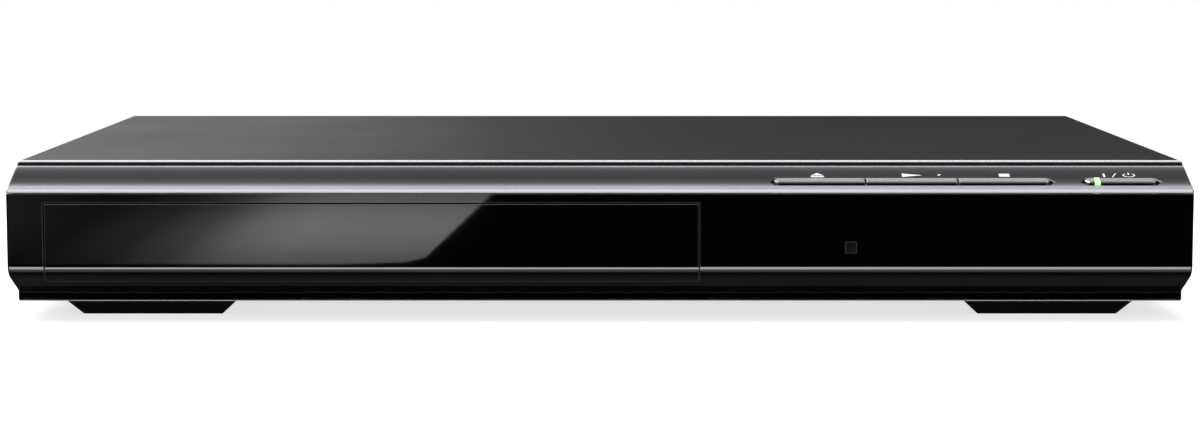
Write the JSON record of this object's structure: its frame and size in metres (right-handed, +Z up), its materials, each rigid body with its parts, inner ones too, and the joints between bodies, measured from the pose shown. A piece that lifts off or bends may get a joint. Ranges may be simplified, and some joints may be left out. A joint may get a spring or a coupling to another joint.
{
  "type": "disc player",
  "caption": "Slim table-top disc player: folded steel cover, gloss front with a motor-driven tray, slanted metallic strip with push buttons, loader, reading unit, boards and rear jacks.",
  "frame": {"origin": "on the floor under the middle of the overall box", "axes": "+X to the right seen from the front, +Y to the rear, +Z up; the face looks along -Y"},
  "size_m": [0.32, 0.209, 0.0435],
  "materials": {
    "cover_paint": "matte dark grey, fine texture",
    "strip_lacquer": "metallic dark grey lacquer on moulding",
    "button_lacquer": "metallic silver lacquer on moulding",
    "gloss_black": "high gloss",
    "foot_plastic": "matte moulded",
    "window_plastic": "dark infrared-clear plastic",
    "light_plastic": "clear green, lit",
    "zinc_steel": "zinc-plated sheet",
    "rear_paint": "matte black",
    "bright_steel": "turned or plated",
    "tray_plastic": "black moulded",
    "loader_plastic": "black moulded",
    "gear_plastic": "natural acetal",
    "rubber_black": "soft",
    "sled_metal": "die cast",
    "actuator_black": "moulded",
    "lens_glass": "coated lens",
    "board_green": "glass-fibre laminate with green resist",
    "chip_black": "moulded package",
    "transformer_yellow": "taped winding on ferrite",
    "capacitor_sleeve": "shrink sleeve",
    "sink_aluminium": "bare",
    "fuse_glass": "glass tube",
    "lamp_clear": "clear epoxy",
    "ribbon_white": "flat cable",
    "block_black": "moulded",
    "nickel": "nickel plate",
    "insert_plastic": "coloured moulded inserts"
  },
  "bodies": {
    "casing": {"audio_video_block": "block_black", "capacitors": "capacitor_sleeve", "clamp_bridge": "zinc_steel", "coaxial_block": "block_black", "component_block": "block_black", "cord_gland": "loader_plastic", "cover_screws": "bright_steel", "decoder_chip": "chip_black", "drive_belt": "rubber_black", "foot_front_left": "foot_plastic", "foot_front_right": "foot_plastic", "foot_rear_left": "foot_plastic", "foot_rear_right": "foot_plastic", "front_board": "board_green", "front_panel": "gloss_black", "front_ribbon": "ribbon_white", "fuse": "fuse_glass", "heat_sink": "sink_aluminium", "jack_inserts": "insert_plastic", "jack_shells": "nickel", "loader_frame": "loader_plastic", "loader_screws": "bright_steel", "loading_motor": "bright_steel", "main_board": "board_green", "pan": "zinc_steel", "pivot_bushes": "rubber_black", "power_board": "board_green", "power_lamp": "lamp_clear", "rear_panel": "rear_paint", "receiver_window": "window_plastic", "remote_receiver": "chip_black", "short_screws": "bright_steel", "tact_switches": "chip_black", "top_cover": "cover_paint", "transformer": "transformer_yellow", "trim_strip": "strip_lacquer"},
    "tray": {"tray": "tray_plastic", "tray_door": "gloss_black"},
    "drive_gear": {"drive_gear": "gear_plastic"},
    "pulley_gear": {"pulley_gear": "gear_plastic"},
    "motor_pulley": {"motor_pulley": "gear_plastic"},
    "traverse": {"traverse_frame": "zinc_steel", "spindle_motor": "bright_steel", "guide_rod_left": "bright_steel", "guide_rod_right": "bright_steel", "sled_motor": "bright_steel"},
    "cam": {"cam_slider": "loader_plastic"},
    "turntable": {"turntable": "gear_plastic", "turntable_mat": "rubber_black"},
    "clamp": {"clamper": "gear_plastic", "clamp_magnet": "bright_steel"},
    "pickup": {"pickup_sled": "sled_metal", "lens_actuator": "actuator_black", "pickup_lens": "lens_glass"},
    "lead_screw": {"lead_screw": "bright_steel"},
    "eject": {"eject_button": "button_lacquer"},
    "play": {"play_button": "button_lacquer"},
    "stop": {"stop_button": "button_lacquer"},
    "power": {"power_button": "button_lacquer", "power_light": "light_plastic"}
  },
  "joints": [
    {"name": "tray_slide", "type": "slide", "parent": "casing", "child": "tray", "axis": [0, -1, 0], "range_m": [0, 0.133]},
    {"name": "drive_gear_turn", "type": "hinge", "parent": "casing", "child": "drive_gear", "pos_m": [-0.1166, -0.068, 0.0157], "axis": [0, 0, 1], "range_deg": [-2, 1090.6]},
    {"name": "pulley_gear_turn", "type": "hinge", "parent": "casing", "child": "pulley_gear", "pos_m": [-0.09599, -0.07201, 0.0157], "axis": [0, 0, 1], "range_deg": [-4362.5, 8]},
    {"name": "motor_pulley_turn", "type": "hinge", "parent": "casing", "child": "motor_pulley", "pos_m": [-0.06199, -0.07201, 0.0196], "axis": [0, 0, 1], "range_deg": [-14949.6, 20]},
    {"name": "traverse_tilt", "type": "hinge", "parent": "casing", "child": "traverse", "pos_m": [-0.0616, 0.0455, 0.0155], "axis": [1, 0, 0], "range_deg": [0, 3.4]},
    {"name": "cam_slide", "type": "slide", "parent": "casing", "child": "cam", "axis": [1, 0, 0], "range_m": [-0.0002, 0.0242]},
    {"name": "turntable_spin", "type": "hinge", "parent": "traverse", "child": "turntable", "pos_m": [-0.0616, -0.0325, 0.0265], "axis": [0, 0, 1], "continuous": true},
    {"name": "clamp_spin", "type": "hinge", "parent": "casing", "child": "clamp", "pos_m": [-0.0616, -0.0325, 0.0269], "axis": [0, 0, 1], "continuous": true},
    {"name": "pickup_slide", "type": "slide", "parent": "traverse", "child": "pickup", "axis": [0, 1, 0], "range_m": [0, 0.034]},
    {"name": "lead_screw_turn", "type": "hinge", "parent": "traverse", "child": "lead_screw", "pos_m": [-0.0251, -0.0325, 0.0165], "axis": [0, 1, 0], "range_deg": [-10, 4090]},
    {"name": "eject_press", "type": "slide", "parent": "casing", "child": "eject", "axis": [0, 0.36, -0.933], "range_m": [0, 0.0005], "stiffness_N_per_m": 600},
    {"name": "play_press", "type": "slide", "parent": "casing", "child": "play", "axis": [0, 0.36, -0.933], "range_m": [0, 0.0005], "stiffness_N_per_m": 600},
    {"name": "stop_press", "type": "slide", "parent": "casing", "child": "stop", "axis": [0, 0.36, -0.933], "range_m": [0, 0.0005], "stiffness_N_per_m": 600},
    {"name": "power_press", "type": "slide", "parent": "casing", "child": "power", "axis": [0, 0.36, -0.933], "range_m": [0, 0.0005], "stiffness_N_per_m": 600}
  ],
  "couplings": [
    {"joint": "drive_gear_turn", "follows": "tray_slide", "rad_per_m": 142.86},
    {"joint": "pulley_gear_turn", "follows": "tray_slide", "rad_per_m": -571.43},
    {"joint": "motor_pulley_turn", "follows": "tray_slide", "rad_per_m": -1959.2},
    {"joint": "cam_slide", "follows": "traverse_tilt", "m_per_rad": 0.40444},
    {"joint": "turntable_spin", "follows": "clamp_spin", "ratio": 1},
    {"joint": "lead_screw_turn", "follows": "pickup_slide", "rad_per_m": 2094.4}
  ]
}
